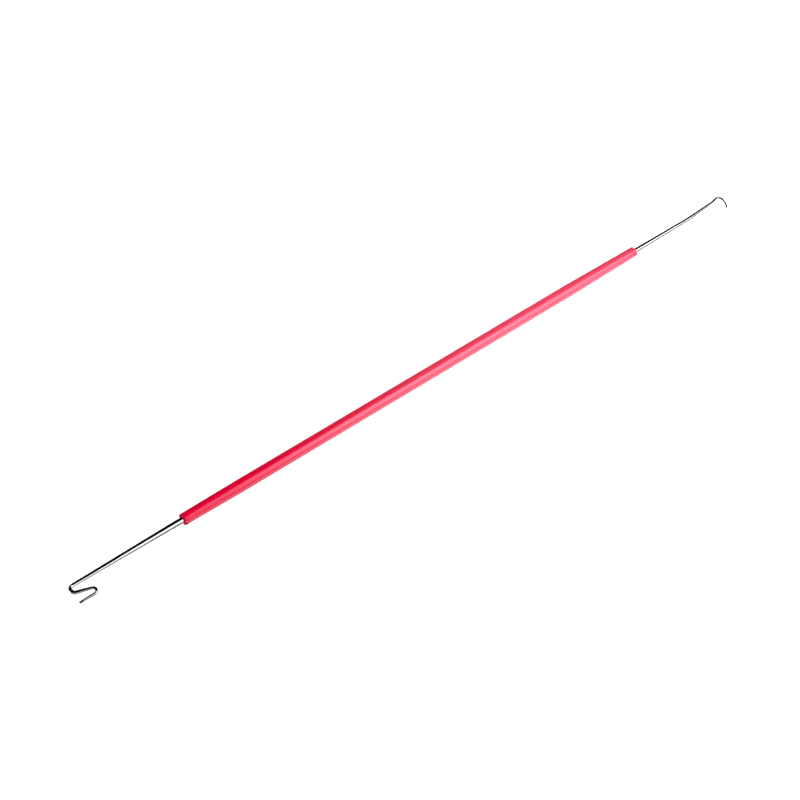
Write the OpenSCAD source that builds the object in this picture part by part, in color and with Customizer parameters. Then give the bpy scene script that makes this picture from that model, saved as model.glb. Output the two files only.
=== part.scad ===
// Spring hook tool: one tapered steel wire, bent to a push-pull hook at one end and a pull hook at the other,
// with a close plastic grip sleeve over its middle. It lies on the sleeve and on the larger hook's tip.
// The wire is drawn as its straight shank and its two hooks, which meet the shank face to face.
// X runs along the tool from the push-pull hook to the pull hook, both hooks point to -Y, and Z is up.

/* [Grip sleeve] */
// Length of the sleeve
sleeve_length = 155; // [110:1:200]
// Wall of the sleeve
sleeve_wall = 0.77; // [0.4:0.01:1.2]
// Gap between the wire and the sleeve's bore
sleeve_clearance = 0.01; // [0:0.01:0.1]
// Chamfer on the outer edges of the sleeve's cut ends
sleeve_chamfer = 0.12; // [0.02:0.02:0.3]

/* [Wire] */
// Diameter of the wire in the middle of the tool
wire_d = 2; // [1.7:0.05:3]
// Chamfer on the wire's two cut tips
tip_chamfer = 0.08; // [0.02:0.01:0.15]

/* [Push-pull hook wire] */
// Bare length, from the sleeve to the outside of the first bend
push_bare = 34.4; // [10:0.1:60]
// Length of the taper inside the sleeve
push_taper = 18; // [5:0.5:50]
// Wire diameter at the sleeve's mouth
push_mouth_d = 1.66; // [1.2:0.02:1.7]
// Wire diameter in the first bend
push_bend_d = 1; // [0.8:0.02:1.2]
// Wire diameter in the return bend
push_return_d = 0.72; // [0.6:0.02:1]
// Wire diameter at the tip
push_tip_d = 0.6; // [0.4:0.02:0.8]

/* [Push-pull hook shape] */
// Centreline radius of the first bend
push_bend_r = 1; // [0.8:0.02:3]
// Centreline radius of the return bend
push_return_r = 0.86; // [0.7:0.02:3]
// Angle that the wire turns in each bend
push_angle = 164.5; // [120:0.5:178]
// Straight length between the two bends
push_leg = 4.1; // [2:0.1:10]
// Straight length from the return bend to the tip
push_tip = 4.5; // [1:0.1:5]

/* [Pull hook wire] */
// Bare length, from the sleeve to the outside of the crown
pull_bare = 35.3; // [18:0.1:60]
// Length of the taper inside the sleeve
pull_taper = 25; // [5:0.5:50]
// Wire diameter at the sleeve's mouth
pull_mouth_d = 1.26; // [1.1:0.02:1.7]
// Wire diameter where the neck starts to lean back
pull_lean_d = 1; // [0.7:0.02:1.2]
// Wire diameter where the neck kicks out to the crown
pull_kick_d = 0.6; // [0.56:0.02:0.8]
// Wire diameter in the crown
pull_crown_d = 0.54; // [0.45:0.01:0.6]
// Wire diameter at the tip
pull_tip_d = 0.44; // [0.34:0.02:0.5]

/* [Pull hook shape] */
// Centreline radius of the bend that leans the neck back
pull_lean_r = 40; // [10:1:60]
// Angle that the neck leans back
pull_lean_angle = 4; // [1:0.5:10]
// Straight length of the neck
pull_neck = 8.5; // [4:0.1:12]
// Centreline radius of the kick below the crown
pull_kick_r = 8; // [3:0.5:20]
// Angle of the kick below the crown
pull_kick_angle = 9; // [2:0.5:20]
// Straight length from the kick to the crown
pull_rise = 0.9; // [0.3:0.1:3]
// Centreline radius of the crown
pull_crown_r = 1.35; // [0.8:0.05:3]
// Straight length after the crown
pull_drop = 0.3; // [0.1:0.1:2]
// Centreline radius of the curl at the tip
pull_tip_r = 3.8; // [2:0.1:8]
// Angle of the curl at the tip
pull_tip_angle = 34; // [10:1:60]
// Straight length after the curl
pull_tip = 0.3; // [0.2:0.1:2]

/* [Hidden] */
$fn = 48;

// Each straight length of a hook runs this far into the bends beside it
joint_lap = 0.05;
// and is this much thinner than they are, so that the bends close round it
joint_step = 0.02;

// Untapered wire on each side of the sleeve's middle
push_core = sleeve_length / 2 - push_taper;
pull_core = sleeve_length / 2 - pull_taper;
bore_offset = sleeve_clearance;
skin_offset = sleeve_clearance + sleeve_wall;
sleeve_r = wire_d / 2 + skin_offset;

// Ends of the straight shank, from the sleeve's middle
push_end = sleeve_length / 2 + push_bare - push_bend_r - push_bend_d / 2;
crown_start = pull_lean_angle + pull_kick_angle;
pull_reach = pull_lean_r * sin(pull_lean_angle)
    + pull_neck * cos(pull_lean_angle)
    + pull_kick_r * (sin(crown_start) - sin(pull_lean_angle))
    + pull_rise * cos(crown_start)
    + pull_crown_r * (1 + sin(crown_start))
    + pull_crown_d / 2;
pull_end = sleeve_length / 2 + pull_bare - pull_reach;
// The crown ends square to the tool
pull_crown_angle = 90 + crown_start;

// The tool rolls about the sleeve until the straight tip of the push-pull hook meets the floor
tip_offset = (push_bend_r + push_return_r) * (1 - cos(push_angle)) + push_leg * sin(push_angle);
rest_roll = asin((sleeve_r - push_return_d / 2) / tip_offset);
hook_reach = tip_offset * cos(rest_roll) + push_return_d / 2;

// The origin is on the floor, under the middle of the tool's box
axis_x = (push_bare - pull_bare) / 2;
axis_y = (hook_reach - sleeve_r) / 2;
axis_z = sleeve_r;

// Places what is round about the tool's axis, which is drawn along X
module on_axis() {
    translate([axis_x, axis_y, axis_z]) children();
}

// Places the wire at rest: it is drawn along X, with its hooks flat in the XY plane
module at_rest() {
    on_axis() rotate([rest_roll, 0, 0]) children();
}

// A straight, evenly tapered length of wire along +X, with the next length at its end
module leg(length, start_d, end_d) {
    translate([-joint_lap, 0, 0]) rotate([0, 90, 0])
        cylinder(h = length + 2 * joint_lap, d1 = start_d - joint_step, d2 = end_d - joint_step);
    translate([length, 0, 0]) children();
}

// A round bend in the XY plane, to the left for a positive angle, with the next length at its end
module bend(radius, angle, d) {
    side = sign(angle);
    first = side > 0 ? -90 : 90 + angle;
    translate([0, side * radius, 0]) {
        rotate([0, 0, first]) rotate_extrude(angle = abs(angle)) translate([radius, 0]) circle(d = d);
        rotate([0, 0, angle]) translate([0, -side * radius, 0]) children();
    }
}

// The last straight length of a hook, with its cut end chamfered
module tip(length, start_d, end_d) {
    start_r = (start_d - joint_step) / 2;
    end_r = (end_d - joint_step) / 2;
    rotate([0, 90, 0]) rotate_extrude() polygon([
        [0, -joint_lap],
        [start_r, -joint_lap],
        [end_r, length - tip_chamfer],
        [end_r - tip_chamfer, length],
        [0, length]
    ]);
}

// The tapered wire inside the sleeve, as radius and height, moved outward by an offset
function wire_profile(offset, inset) = [
    [push_mouth_d / 2 + offset, inset - sleeve_length / 2],
    [wire_d / 2 + offset, -push_core],
    [wire_d / 2 + offset, pull_core],
    [pull_mouth_d / 2 + offset, sleeve_length / 2 - inset]
];

// The straight wire, from the first bend of one hook to the first bend of the other
module rod_shank() {
    push_face = [[0, -push_end], [push_bend_d / 2, -push_end]];
    pull_face = [[pull_lean_d / 2, pull_end], [0, pull_end]];
    color("silver") at_rest() rotate([0, 90, 0]) rotate_extrude()
        polygon(concat(push_face, wire_profile(0, 0), pull_face));
}

// An S with its last leg straight
module push_hook() {
    color("silver") at_rest() mirror([1, 0, 0]) translate([push_end, 0, 0])
        bend(push_bend_r, -push_angle, push_bend_d)
        leg(push_leg, push_bend_d, push_return_d)
        bend(push_return_r, push_angle, push_return_d)
        tip(push_tip, push_return_d, push_tip_d);
}

// A neck that leans back, then an open crown that curls in at its tip
module pull_hook() {
    color("silver") at_rest() translate([pull_end, 0, 0])
        bend(pull_lean_r, pull_lean_angle, pull_lean_d)
        leg(pull_neck, pull_lean_d, pull_kick_d)
        bend(pull_kick_r, pull_kick_angle, pull_kick_d)
        leg(pull_rise, pull_kick_d, pull_crown_d)
        bend(pull_crown_r, -pull_crown_angle, pull_crown_d)
        leg(pull_drop, pull_crown_d, pull_tip_d)
        bend(pull_tip_r, -pull_tip_angle, pull_tip_d)
        tip(pull_tip, pull_tip_d, pull_tip_d);
}

module sleeve_section() {
    bore = wire_profile(bore_offset, 0);
    skin = wire_profile(skin_offset, sleeve_chamfer);
    face = skin_offset - sleeve_chamfer;
    push_edge = [push_mouth_d / 2 + face, -sleeve_length / 2];
    pull_edge = [pull_mouth_d / 2 + face, sleeve_length / 2];
    polygon(concat(bore, [pull_edge], [for (i = [3:-1:0]) skin[i]], [push_edge]));
}

// A tube that follows the wire and narrows with it towards both ends
module grip_sleeve() {
    color("crimson") on_axis() rotate([0, 90, 0]) rotate_extrude() sleeve_section();
}

rod_shank();
push_hook();
pull_hook();
grip_sleeve();
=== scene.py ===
import math

import bmesh
import bpy
from mathutils import Matrix, Vector


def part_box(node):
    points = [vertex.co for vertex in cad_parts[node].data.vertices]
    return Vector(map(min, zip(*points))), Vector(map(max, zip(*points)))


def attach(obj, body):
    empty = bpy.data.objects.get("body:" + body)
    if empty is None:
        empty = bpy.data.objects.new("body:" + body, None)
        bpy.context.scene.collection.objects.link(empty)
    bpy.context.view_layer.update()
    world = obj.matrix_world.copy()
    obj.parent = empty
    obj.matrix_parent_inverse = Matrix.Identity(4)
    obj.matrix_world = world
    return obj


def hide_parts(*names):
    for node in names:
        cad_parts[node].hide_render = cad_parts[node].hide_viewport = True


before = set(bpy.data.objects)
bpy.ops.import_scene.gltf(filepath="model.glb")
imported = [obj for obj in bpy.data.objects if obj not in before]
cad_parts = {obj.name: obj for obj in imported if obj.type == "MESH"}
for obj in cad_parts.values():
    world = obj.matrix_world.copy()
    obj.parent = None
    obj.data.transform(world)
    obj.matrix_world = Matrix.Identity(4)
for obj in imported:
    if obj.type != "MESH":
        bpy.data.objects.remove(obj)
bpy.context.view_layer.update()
scene = bpy.context.scene
scene.view_settings.view_transform = "Standard"
mm = 0.001
sleeveLow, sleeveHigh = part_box("grip_sleeve")
sleeveMiddle = (sleeveLow + sleeveHigh) / 2  # a point on the tool's straight axis
print("frame loaded, nodes:", ", ".join(sorted(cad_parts)))


# camera, in mm from the sleeve's middle and degrees
cameraView = {
    "lens": 99.0,
    "azimuth": -39.536,
    "elevation": 46.36,
    "distance": 582.01,
    "slideRight": -5.654,
    "slideUp": -5.858,
    "nearest": 10.0,
}


def placeCamera():
    turn, tilt = math.radians(cameraView["azimuth"]), math.radians(cameraView["elevation"])
    level = Vector((math.sin(turn), -math.cos(turn), 0))
    back = level * math.cos(tilt) + Vector((0, 0, math.sin(tilt)))
    right = Vector((math.cos(turn), math.sin(turn), 0))
    up = back.cross(right)
    data = bpy.data.cameras.new("photoCamera")
    data.lens = cameraView["lens"]
    data.clip_start = cameraView["nearest"] * mm
    camera = bpy.data.objects.new("photoCamera", data)
    scene.collection.objects.link(camera)
    slide = right * cameraView["slideRight"] + up * cameraView["slideUp"]
    place = sleeveMiddle + (slide + back * cameraView["distance"]) * mm
    camera.matrix_world = Matrix.Translation(place) @ Matrix((right, up, back)).transposed().to_4x4()
    scene.camera = camera


placeCamera()
print("camera placed")


# shader helpers
def newMaterial(name):
    material = bpy.data.materials.new(name)
    material.use_nodes = True
    nodes = material.node_tree.nodes
    return material, nodes, material.node_tree.links, nodes["Principled BSDF"]


def mathNode(nodes, links, operation, first, second):
    node = nodes.new("ShaderNodeMath")
    node.operation = operation
    for socket, value in zip(node.inputs, (first, second)):
        if isinstance(value, (int, float)):
            socket.default_value = value
        else:
            links.new(value, socket)
    return node.outputs[0]


def spread(nodes, links, value, low, high):  # takes 0 to 1 into low to high
    node = nodes.new("ShaderNodeMapRange")
    node.inputs["To Min"].default_value = low
    node.inputs["To Max"].default_value = high
    links.new(value, node.inputs["Value"])
    return node.outputs["Result"]


def rampAlong(nodes, links, vector, low, high):  # goes softly from 0 to 1 as X goes from low to high
    split = nodes.new("ShaderNodeSeparateXYZ")
    links.new(vector, split.inputs[0])
    node = nodes.new("ShaderNodeMapRange")
    node.interpolation_type = "SMOOTHSTEP"
    node.inputs["From Min"].default_value = low
    node.inputs["From Max"].default_value = high
    links.new(split.outputs["X"], node.inputs["Value"])
    return node.outputs["Result"]


def blendColours(nodes, links, share, first, second):
    node = nodes.new("ShaderNodeMix")
    node.data_type = "RGBA"
    links.new(share, node.inputs["Factor"])
    for socket, value in zip(node.inputs[6:8], (first, second)):  # the node's two colours
        if isinstance(value, tuple):
            socket.default_value = (*value, 1)
        else:
            links.new(value, socket)
    return node.outputs[2]  # and the colour that they make


def bumpNormal(nodes, links, height, distance, shader):
    node = nodes.new("ShaderNodeBump")
    node.inputs["Distance"].default_value = distance
    links.new(height, node.inputs["Height"])
    links.new(node.outputs["Normal"], shader.inputs["Normal"])


# lines, clouds and flecks along a drawn or extruded piece, on coordinates in mm with X along it
lengthwise = {
    "inputs": ("Line Scale", "Line Stretch", "Cloud Scale", "Fleck Scale", "Fleck Size"),
    "outputs": ("Lines", "Clouds", "Flecks"),
    "lineDetail": 3,
    "lineRoughness": 0.6,
    "cloudDetail": 4,
    "fleckless": 0.7,  # share of the cells that have no fleck
}


def buildLengthwiseGroup():
    group = bpy.data.node_groups.new("lengthwiseFinish", "ShaderNodeTree")
    interface = group.interface
    interface.new_socket("Vector", in_out="INPUT", socket_type="NodeSocketVector")
    for name in lengthwise["inputs"]:
        interface.new_socket(name, in_out="INPUT", socket_type="NodeSocketFloat")
    for name in lengthwise["outputs"]:
        interface.new_socket(name, in_out="OUTPUT", socket_type="NodeSocketFloat")
    nodes, links = group.nodes, group.links
    into, out = nodes.new("NodeGroupInput").outputs, nodes.new("NodeGroupOutput").inputs

    split, join = nodes.new("ShaderNodeSeparateXYZ"), nodes.new("ShaderNodeCombineXYZ")
    links.new(into["Vector"], split.inputs[0])
    stretched = mathNode(nodes, links, "MULTIPLY", split.outputs["X"], into["Line Stretch"])
    links.new(stretched, join.inputs["X"])
    links.new(split.outputs["Y"], join.inputs["Y"])
    links.new(split.outputs["Z"], join.inputs["Z"])
    lines = nodes.new("ShaderNodeTexNoise")
    lines.inputs["Detail"].default_value = lengthwise["lineDetail"]
    lines.inputs["Roughness"].default_value = lengthwise["lineRoughness"]
    links.new(join.outputs[0], lines.inputs["Vector"])
    links.new(into["Line Scale"], lines.inputs["Scale"])
    links.new(lines.outputs[0], out["Lines"])

    clouds = nodes.new("ShaderNodeTexNoise")
    clouds.inputs["Detail"].default_value = lengthwise["cloudDetail"]
    links.new(into["Vector"], clouds.inputs["Vector"])
    links.new(into["Cloud Scale"], clouds.inputs["Scale"])
    links.new(clouds.outputs[0], out["Clouds"])

    cells = nodes.new("ShaderNodeTexVoronoi")
    links.new(into["Vector"], cells.inputs["Vector"])
    links.new(into["Fleck Scale"], cells.inputs["Scale"])
    inside = mathNode(nodes, links, "LESS_THAN", cells.outputs["Distance"], into["Fleck Size"])
    cellColour = nodes.new("ShaderNodeSeparateColor")  # one random value for each cell
    links.new(cells.outputs["Color"], cellColour.inputs[0])
    picked = mathNode(nodes, links, "GREATER_THAN", cellColour.outputs[0], lengthwise["fleckless"])
    links.new(mathNode(nodes, links, "MULTIPLY", inside, picked), out["Flecks"])
    return group


lengthwiseFinish = buildLengthwiseGroup()


def addFinish(nodes, links, vector, values):
    node = nodes.new("ShaderNodeGroup")
    node.node_tree = lengthwiseFinish
    links.new(vector, node.inputs["Vector"])
    for name, value in values.items():
        node.inputs[name].default_value = value
    return node.outputs


# pieces are drawn in mm along X with the hooks in the XY plane, then laid down at rest
mergeDistance = 0.0005
sharpAngle = math.radians(40)


def closeShell(bm):
    bmesh.ops.remove_doubles(bm, verts=bm.verts, dist=mergeDistance)
    bmesh.ops.recalc_face_normals(bm, faces=bm.faces)


def finishPiece(bm, name, materials, nodes):
    closeShell(bm)
    bmesh.ops.transform(bm, matrix=restMatrix(), space=Matrix.Identity(4), verts=bm.verts)
    for face in bm.faces:
        face.smooth = True
    mesh = bpy.data.meshes.new(name)
    bm.to_mesh(mesh)
    bm.free()
    mesh.set_sharp_from_angle(angle=sharpAngle)
    for material in materials:
        mesh.materials.append(material)
    piece = bpy.data.objects.new(name, mesh)
    scene.collection.objects.link(piece)
    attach(piece, "root")
    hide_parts(*nodes)
    print(name, "built,", len(mesh.polygons), "faces")


# the bent wire, in mm and degrees; a hook's row has the bend's radius or 0, then an angle or a length,
# the diameter at its end and its steps
hookWire = {
    "sides": 40,
    "tipRound": 0.08,
    "tipSteps": 4,
    "pushTip": 0.6,
    "pushHook": [
        (0, 4.42, 0.72, 4),
        (0.86, 164.5, 0.72, 28),
        (0, 4.1, 1.0, 6),
        (1.0, -164.5, 1.0, 30),
    ],
    "shank": [  # from the sleeve's middle: place, diameter there and steps
        (-77.5, 1.66, 12),
        (-59.5, 2.0, 4),
        (52.5, 2.0, 2),
        (77.5, 1.26, 4),
    ],
    "shankEnd": (1.0, 8),  # the same diameter and steps where the pull hook starts
    "pullHook": [
        (40, 4, 1.0, 8),
        (0, 8.5, 0.6, 8),
        (8, 9, 0.6, 8),
        (0, 0.9, 0.54, 2),
        (1.35, -103, 0.54, 30),
        (0, 0.3, 0.44, 2),
        (3.8, -34, 0.44, 14),
        (0, 0.22, 0.44, 1),
    ],
    "pullTip": 0.44,
    "steel": (0.80, 0.785, 0.74),
    "steelShade": (0.62, 0.607, 0.575),
    "toneSpread": (-0.3, 1.1),
    "pullHookPaintedShade": (0.20, 0.165, 0.11),  # painted shade: darker, warmer steel on the pull hook that stands in for its dark reflections
    "pullHookShadeSpan": (226.0, 234.5),  # along the wire from the push tip
    "fleckColour": (0.2, 0.19, 0.18),
    "roughness": (0.03, 0.08),
    "bump": 0.002,
    "finish": {
        "Line Scale": 9.0,
        "Line Stretch": 0.015,
        "Cloud Scale": 0.5,
        "Fleck Scale": 1.1,
        "Fleck Size": 0.09,
    },
}


def restMatrix():  # rolls the tool about its sleeve until the push hook's tip meets the floor
    _, (backRadius, angle, backDiameter, _), (_, leg, _, _), (bendRadius, _, _, _) = hookWire["pushHook"]
    turn = math.radians(angle)
    reach = (backRadius + bendRadius) * (1 - math.cos(turn)) + leg * math.sin(turn)
    roll = math.asin((sleeveMiddle.z / mm - backDiameter / 2) / reach)
    return Matrix.Translation(sleeveMiddle) @ Matrix.Rotation(roll, 4, "X") @ Matrix.Scale(mm, 4)


def makeSteel():
    material, nodes, links, shader = newMaterial("spring steel")
    coords = nodes.new("ShaderNodeAttribute")
    coords.attribute_name = "wireCoord"
    vector = coords.outputs["Vector"]
    finish = addFinish(nodes, links, vector, hookWire["finish"])
    tone = spread(nodes, links, finish["Clouds"], *hookWire["toneSpread"])
    colour = blendColours(nodes, links, tone, hookWire["steel"], hookWire["steelShade"])
    # painted shade: the pull hook is darkened in colour to stand in for its dark reflections
    pullHookShadeShare = rampAlong(nodes, links, vector, *hookWire["pullHookShadeSpan"])
    colour = blendColours(nodes, links, pullHookShadeShare, colour, hookWire["pullHookPaintedShade"])
    colour = blendColours(nodes, links, finish["Flecks"], colour, hookWire["fleckColour"])
    links.new(colour, shader.inputs["Base Color"])
    links.new(spread(nodes, links, finish["Lines"], *hookWire["roughness"]), shader.inputs["Roughness"])
    shader.inputs["Metallic"].default_value = 1
    bumpNormal(nodes, links, finish["Lines"], hookWire["bump"] * mm, shader)
    return material


def roundedTip(diameter):  # distance from the cut face, diameter there and steps, over its rounded edge
    radius, steps = hookWire["tipRound"], hookWire["tipSteps"]
    turns = [math.pi / 2 * step / steps for step in range(steps + 1)]
    return [(radius * (1 - math.cos(turn)), diameter - 2 * radius * (1 - math.sin(turn)), 1)
            for turn in turns]


def straightRows(points):  # rows of a hook's form, from one point to the next
    return [(0, abs(after[0] - before[0]), *after[1:]) for before, after in zip(points, points[1:])]


def sweepWire():
    shankFrom, shankTo = ((end.x - sleeveMiddle.x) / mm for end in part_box("rod_shank"))
    pushRows = straightRows(roundedTip(hookWire["pushTip"])) + hookWire["pushHook"]
    shankRows = straightRows([(shankFrom,), *hookWire["shank"], (shankTo, *hookWire["shankEnd"])])
    pullRows = hookWire["pullHook"] + straightRows(roundedTip(hookWire["pullTip"])[::-1])

    bm = bmesh.new()
    coordLayer = bm.verts.layers.float_vector.new("wireCoord")  # along the wire, and around it
    place, heading, along = Vector((0, 0, 0)), 0.0, 0.0
    diameter = hookWire["pushTip"] - 2 * hookWire["tipRound"]
    verts = bmesh.ops.create_circle(bm, cap_ends=True, radius=diameter / 2, segments=hookWire["sides"],
                                    matrix=Matrix.Rotation(math.pi / 2, 4, "Y"))["verts"]
    edges = [edge for edge in bm.edges if edge.is_boundary]
    for vert in verts:
        around = vert.co.normalized()
        vert[coordLayer] = Vector((0, around.y, around.z))

    for number, (radius, amount, endDiameter, steps) in enumerate(pushRows + shankRows + pullRows):
        if number == len(pushRows):
            shankStart = place
        startDiameter = diameter
        side = math.copysign(1, amount)
        centre = place + Vector((-math.sin(heading), math.cos(heading), 0)) * radius * side
        for step in range(1, steps + 1):
            grown = bmesh.ops.extrude_edge_only(bm, edges=edges)["geom"]
            verts = [part for part in grown if isinstance(part, bmesh.types.BMVert)]
            edges = [part for part in grown if isinstance(part, bmesh.types.BMEdge) and part.is_boundary]
            if radius:
                turn = math.radians(amount) / steps
                turned = Matrix.Rotation(turn, 4, "Z")
                move = Matrix.Translation(centre) @ turned @ Matrix.Translation(-centre)
                heading += turn
                along += abs(turn) * radius
            else:
                forward = Vector((math.cos(heading), math.sin(heading), 0))
                move = Matrix.Translation(forward * amount / steps)
                along += amount / steps
            place = move @ place
            bmesh.ops.transform(bm, matrix=move, space=Matrix.Identity(4), verts=verts)
            wanted = startDiameter + (endDiameter - startDiameter) * step / steps
            growth = Vector((1, 1, 1)) * wanted / diameter
            bmesh.ops.scale(bm, vec=growth, space=Matrix.Translation(-place), verts=verts)
            diameter = wanted
            for vert in verts:
                around = vert[coordLayer]
                vert[coordLayer] = Vector((along, around.y, around.z))
    bmesh.ops.edgeloop_fill(bm, edges=edges)
    bmesh.ops.translate(bm, vec=Vector((shankFrom, 0, 0)) - shankStart, verts=bm.verts)
    finishPiece(bm, "hookWire", [makeSteel()], ("rod_shank", "push_hook", "pull_hook"))


sweepWire()


# the tube, in mm; it follows the wire's shank, from the first place listed there to the last
gripTube = {
    "sides": 96,
    "clearance": 0.01,
    "wall": 0.77,
    "cuts": [7, 44, 10],
    "waveDepth": 0.012,  # a slow, slight unevenness of the soft wall
    "waves": [(0.3, 3.1, 0), (0.2, 1.7, 1)],  # share, length and start
    "lipRound": 0.06,
    "lipSegments": 5,
    "mouthRound": 0.05,
    "mouthSegments": 4,
    "ringTolerance": 0.001,
    "cutSlope": 0.5,  # faces that look along the tube more than this are its cut ends
    "skinLook": {
        "colour": (0.59, 0.0003, 0.030),
        "deep": (0.54, 0.0002, 0.026),
        # painted light: this paler colour stands in for the brighter light and sheen towards the pull hook
        "paintedLightColour": (0.66, 0.042, 0.090),
        "roughness": (0.19, 0.25),
        "specular": 0.82,
    },
    "cutLook": {
        # painted light: the cut ends are coloured paler than the skin, standing in for light that they
        # barely get
        "colour": (0.80, 0.010, 0.060),
        "roughness": (0.55, 0.75),
        "specular": 0.3,
    },
    "toneSpread": (-0.2, 1.2),
    # where the painted light turns the skin paler
    "paintedLightSpan": (-58.0, 42.0),
    "fleckColour": (0.80, 0.10, 0.16),
    "specularTint": (1.0, 0.63, 0.87),
    "hazeCoat": 0.75,
    "hazeSpan": (-75.0, -12.0),
    "hazeRoughness": 0.4,
    "bump": 0.004,
    "finish": {
        "Line Scale": 5.0,
        "Line Stretch": 0.01,
        "Cloud Scale": 0.12,
        "Fleck Scale": 0.35,
        "Fleck Size": 0.05,
    },
}


def makeVinyl(name, look):
    material, nodes, links, shader = newMaterial(name)
    coords, mapping = nodes.new("ShaderNodeTexCoord"), nodes.new("ShaderNodeMapping")
    mapping.inputs["Location"].default_value = -sleeveMiddle / mm
    mapping.inputs["Scale"].default_value = (1 / mm, 1 / mm, 1 / mm)
    links.new(coords.outputs["Object"], mapping.inputs["Vector"])
    vector = mapping.outputs["Vector"]
    finish = addFinish(nodes, links, vector, gripTube["finish"])
    colour = look["colour"]
    if "paintedLightColour" in look:  # the skin is cloudy, and painted paler towards the pull hook: painted light that stands in for the brighter light and sheen there
        tone = spread(nodes, links, finish["Clouds"], *gripTube["toneSpread"])
        colour = blendColours(nodes, links, tone, look["deep"], colour)
        paintedLightShare = rampAlong(nodes, links, vector, *gripTube["paintedLightSpan"])
        colour = blendColours(nodes, links, paintedLightShare, colour, look["paintedLightColour"])
    colour = blendColours(nodes, links, finish["Flecks"], colour, gripTube["fleckColour"])
    links.new(colour, shader.inputs["Base Color"])
    links.new(spread(nodes, links, finish["Lines"], *look["roughness"]), shader.inputs["Roughness"])
    shader.inputs["Specular IOR Level"].default_value = look["specular"]
    shader.inputs["Specular Tint"].default_value = (*gripTube["specularTint"], 1)
    hazy = rampAlong(nodes, links, vector, *gripTube["hazeSpan"])
    links.new(mathNode(nodes, links, "MULTIPLY", hazy, gripTube["hazeCoat"]), shader.inputs["Coat Weight"])
    shader.inputs["Coat Roughness"].default_value = gripTube["hazeRoughness"]
    bumpNormal(nodes, links, finish["Lines"], gripTube["bump"] * mm, shader)
    return material


def roundRings(bm, rings, rounding, segments):
    tolerance = gripTube["ringTolerance"]
    found = []
    for x, radius in rings:
        onRing = {vert for vert in bm.verts if abs(vert.co.x - x) < tolerance
                  and abs(math.hypot(vert.co.y, vert.co.z) - radius) < tolerance}
        found += [edge for edge in bm.edges if onRing.issuperset(edge.verts)]
    bmesh.ops.bevel(bm, geom=found, offset=rounding, segments=segments, profile=0.5,
                    affect="EDGES", material=-1)


def spinTube():
    bore = [(x, diameter / 2 + gripTube["clearance"]) for x, diameter, _ in hookWire["shank"]]
    skin = [(x, radius + gripTube["wall"]) for x, radius in bore]
    bm = bmesh.new()
    corners = [bm.verts.new((x, 0, radius)) for x, radius in skin + bore[::-1]]
    edges = [bm.edges.new((first, last)) for first, last in zip(corners, corners[1:] + corners[:1])]
    for edge, cuts in zip(edges, gripTube["cuts"]):
        fresh = bmesh.ops.subdivide_edges(bm, edges=[edge], cuts=cuts)["geom_inner"]
        for vert in (part for part in fresh if isinstance(part, bmesh.types.BMVert)):
            dip = sum(share * (1 + math.sin(vert.co.x / length + start))
                      for share, length, start in gripTube["waves"])
            vert.co.z -= gripTube["waveDepth"] * dip
    bmesh.ops.spin(bm, geom=bm.verts[:] + bm.edges[:], cent=(0, 0, 0), axis=(1, 0, 0),
                   angle=2 * math.pi, steps=gripTube["sides"], use_merge=True)
    closeShell(bm)
    roundRings(bm, (skin[0], skin[-1]), gripTube["lipRound"], gripTube["lipSegments"])
    roundRings(bm, (bore[0], bore[-1]), gripTube["mouthRound"], gripTube["mouthSegments"])
    for face in bm.faces:
        face.material_index = int(abs(face.normal.x) > gripTube["cutSlope"])
    looks = [
        makeVinyl("grip vinyl", gripTube["skinLook"]),
        makeVinyl("grip vinyl cut", gripTube["cutLook"]),
    ]
    finishPiece(bm, "gripTube", looks, ("grip_sleeve",))


spinTube()


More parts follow.
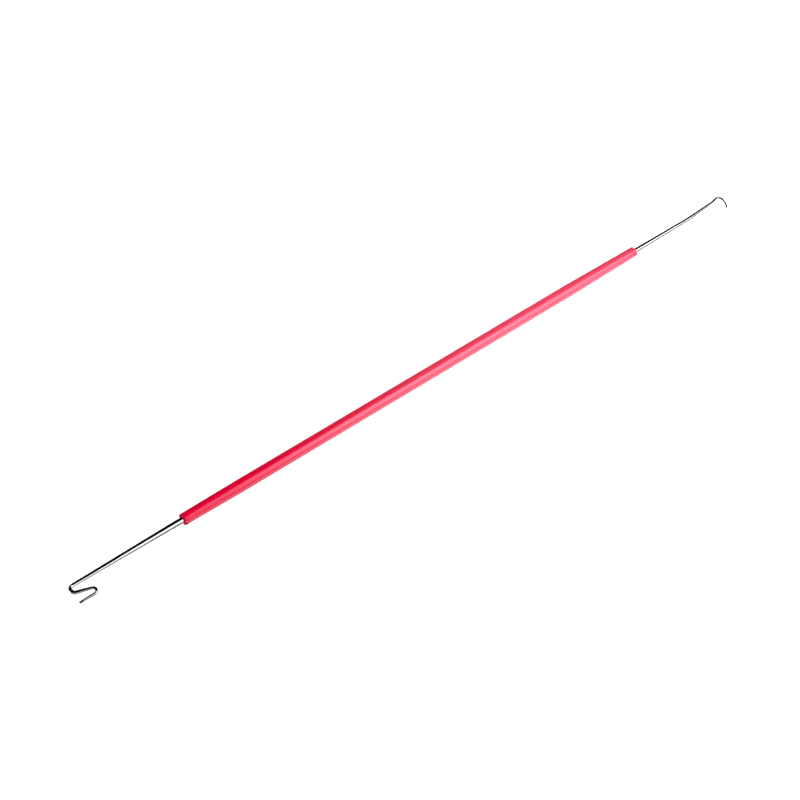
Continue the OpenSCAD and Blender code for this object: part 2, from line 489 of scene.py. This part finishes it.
# floor, cards and lamps, in metres; angles go from the front horizon (0)
# over the top (90) to the back horizon (180)
studio = {
    "floorSize": 4.0,
    "floorDrop": 0.00002,
    "floorColour": (0.5, 0.5, 0.5),
    "floorRoughness": 0.9,
    "floorSpecular": 0.1,
    "floorGlow": 0.88,
    "world": 0.04,
    "frontPanels": [
        {"angle": 41.0, "reach": 0.65, "span": (0.06, 0.55), "height": 0.78, "radiance": 1.65},
        {"angle": 41.0, "reach": 0.5, "span": (0.17, 0.56), "height": 0.6, "radiance": 2.0},
    ],
    "softPanels": [  # they light colours, and mirrors don't see them
        {"at": (-0.2, -0.43, 0.33), "to": (-0.04, 0, 0), "size": 0.447, "radiance": 4.8},
        {"at": (0.4, 0.2, 0.56), "to": (0.08, 0, 0), "size": 0.561, "radiance": 2.03},
        {"at": (0.22, 0.35, 0.4), "to": (0.05, 0, 0), "size": 0.551, "radiance": 1.58},
        {"at": (0.1, 0.1, 1.2), "to": (0.1, 0.1, 0), "size": 2.0, "radiance": 0.2},
    ],
    # only mirrors see the cards: they give the wire its dark upper side and, as a painted shadow, the dark
    # line along its foot
    "cardColour": (0.004, 0.004, 0.004),
    "cardDrop": 0.00001,
    "arcSteps": 24,
    "cardArcs": [
        {"reach": 0.9, "from": 0.0, "to": 180.0, "span": (-8.0, -0.28)},
        {"reach": 0.9, "from": 0.0, "to": 150.0, "span": (-0.28, 0.1)},
        {"reach": 0.9, "from": 0.0, "to": 180.0, "span": (0.1, 8.0)},
        {"reach": 0.3, "from": 52.0, "to": 82.0, "span": (-0.3, -0.005)},
        {"reach": 0.3, "from": 43.0, "to": 52.0, "span": (-0.3, -0.0145)},
        {"reach": 0.3, "from": 66.0, "to": 82.0, "span": (-0.005, 0.03)},
        {"reach": 0.3, "from": 54.0, "to": 82.0, "span": (0.275, 0.6)},
    ],
    "cardFlats": [  # from and to along X, from and to across the tool's axis
        # behind the push wire
        (-1.5, -0.13, 0.0013, 0.9),
        (-0.13, -0.078, 0.0013, 0.008),
        (-0.13, -0.06, 0.008, 0.05),
        (-0.1, -0.025, 0.05, 0.2),
        (-0.04, 0.14, 0.2, 0.9),
        # behind the pull wire
        (0.0768, 0.25, 0.0013, 0.008),
        (0.07, 0.25, 0.008, 0.05),
        (0.13, 0.35, 0.05, 0.2),
        (0.4, 1.0, 0.2, 0.9),
        # in front of the push wire and its hook: painted shadow, standing in for the wire's own shadow on
        # the floor
        (-0.105, -0.0768, -0.0095, -0.0011),
        (-0.120, -0.105, -0.0062, -0.0008),
        (-0.1135, -0.106, -0.0068, -0.0051),
        # in front of the pull wire: painted shadow, standing in for the wire's own shadow on the floor
        (0.0785, 0.118, -0.03, -0.0008),
    ],
}


def stagePiece(bm, name, material):
    mesh = bpy.data.meshes.new(name)
    bm.to_mesh(mesh)
    bm.free()
    mesh.materials.append(material)
    piece = bpy.data.objects.new(name, mesh)
    scene.collection.objects.link(piece)
    return piece


def seenDirectly(nodes, links):  # 1 where the camera, a mirror or glass looks
    rays = nodes.new("ShaderNodeLightPath").outputs
    seen = mathNode(nodes, links, "MAXIMUM", rays["Is Camera Ray"], rays["Is Glossy Ray"])
    return mathNode(nodes, links, "MAXIMUM", seen, rays["Is Transmission Ray"])


def makeFloor():
    material, nodes, links, shader = newMaterial("white floor")
    shader.inputs["Base Color"].default_value = (*studio["floorColour"], 1)
    shader.inputs["Roughness"].default_value = studio["floorRoughness"]
    shader.inputs["Specular IOR Level"].default_value = studio["floorSpecular"]
    shader.inputs["Emission Color"].default_value = (1, 1, 1, 1)
    glow = mathNode(nodes, links, "MULTIPLY", seenDirectly(nodes, links), studio["floorGlow"])
    links.new(glow, shader.inputs["Emission Strength"])
    bm = bmesh.new()
    bmesh.ops.create_grid(bm, x_segments=1, y_segments=1, size=studio["floorSize"] / 2)
    bmesh.ops.translate(bm, vec=(0, 0, -studio["floorDrop"]), verts=bm.verts)
    stagePiece(bm, "floor", material)


def makeDarkCards():
    material, _, _, shader = newMaterial("dark card")
    shader.inputs["Base Color"].default_value = (*studio["cardColour"], 1)
    shader.inputs["Roughness"].default_value = 1
    shader.inputs["Specular IOR Level"].default_value = 0
    bm = bmesh.new()
    axis = Vector((0, sleeveMiddle.y, 0))
    for arc in studio["cardArcs"]:
        verts = [bm.verts.new((x, axis.y - arc["reach"], 0)) for x in arc["span"]]
        edge = bm.edges.new(verts)
        low, high = math.radians(arc["from"]), math.radians(arc["to"])
        bmesh.ops.rotate(bm, cent=axis, matrix=Matrix.Rotation(-low, 3, "X"), verts=verts)
        bmesh.ops.spin(bm, geom=verts + [edge], cent=axis, axis=(1, 0, 0),
                       angle=low - high, steps=studio["arcSteps"])
    for left, right, near, far in studio["cardFlats"]:
        flat = bmesh.ops.create_grid(bm, x_segments=1, y_segments=1, size=0.5)["verts"]
        middle = Vector(((left + right) / 2, (near + far) / 2, -studio["cardDrop"]))
        bmesh.ops.scale(bm, vec=(right - left, far - near, 1), verts=flat)
        bmesh.ops.translate(bm, vec=axis + middle, verts=flat)
    cards = stagePiece(bm, "darkCards", material)
    cards.visible_camera = cards.visible_diffuse = cards.visible_shadow = False


def addPanel(name, place, across, out, size, radiance):
    data = bpy.data.lights.new(name, "AREA")
    data.shape = "RECTANGLE"
    data.size, data.size_y = size
    data.energy = radiance * math.pi * data.size * data.size_y
    lamp = bpy.data.objects.new(name, data)
    turned = Matrix((across, out.cross(across), out)).transposed().to_4x4()
    lamp.matrix_world = Matrix.Translation(place) @ turned
    scene.collection.objects.link(lamp)
    return lamp


def addFrontPanel(values):
    left, right = values["span"]
    angle = math.radians(values["angle"])
    out = Vector((0, -math.cos(angle), math.sin(angle)))
    place = Vector(((left + right) / 2, 0, 0)) + out * values["reach"]
    size = (right - left, values["height"])
    addPanel("frontPanel", place, Vector((1, 0, 0)), out, size, values["radiance"])


def addSoftPanel(values):
    place = Vector(values["at"])
    out = (place - Vector(values["to"])).normalized()
    size = (values["size"], values["size"])
    lamp = addPanel("softPanel", place, out.orthogonal().normalized(), out, size, values["radiance"])
    lamp.visible_glossy = False
    lamp.data.cycles.use_multiple_importance_sampling = False  # or a haze of it shows in the vinyl's gloss


def lightWorld():
    world = bpy.data.worlds.new("studio")
    world.use_nodes = True
    nodes, links = world.node_tree.nodes, world.node_tree.links
    background = nodes["Background"]
    background.inputs["Color"].default_value = (1, 1, 1, 1)
    strength = mathNode(nodes, links, "MAXIMUM", seenDirectly(nodes, links), studio["world"])
    links.new(strength, background.inputs["Strength"])
    scene.world = world


makeFloor()
makeDarkCards()
for values in studio["frontPanels"]:
    addFrontPanel(values)
for values in studio["softPanels"]:
    addSoftPanel(values)
lightWorld()
print("studio lit")
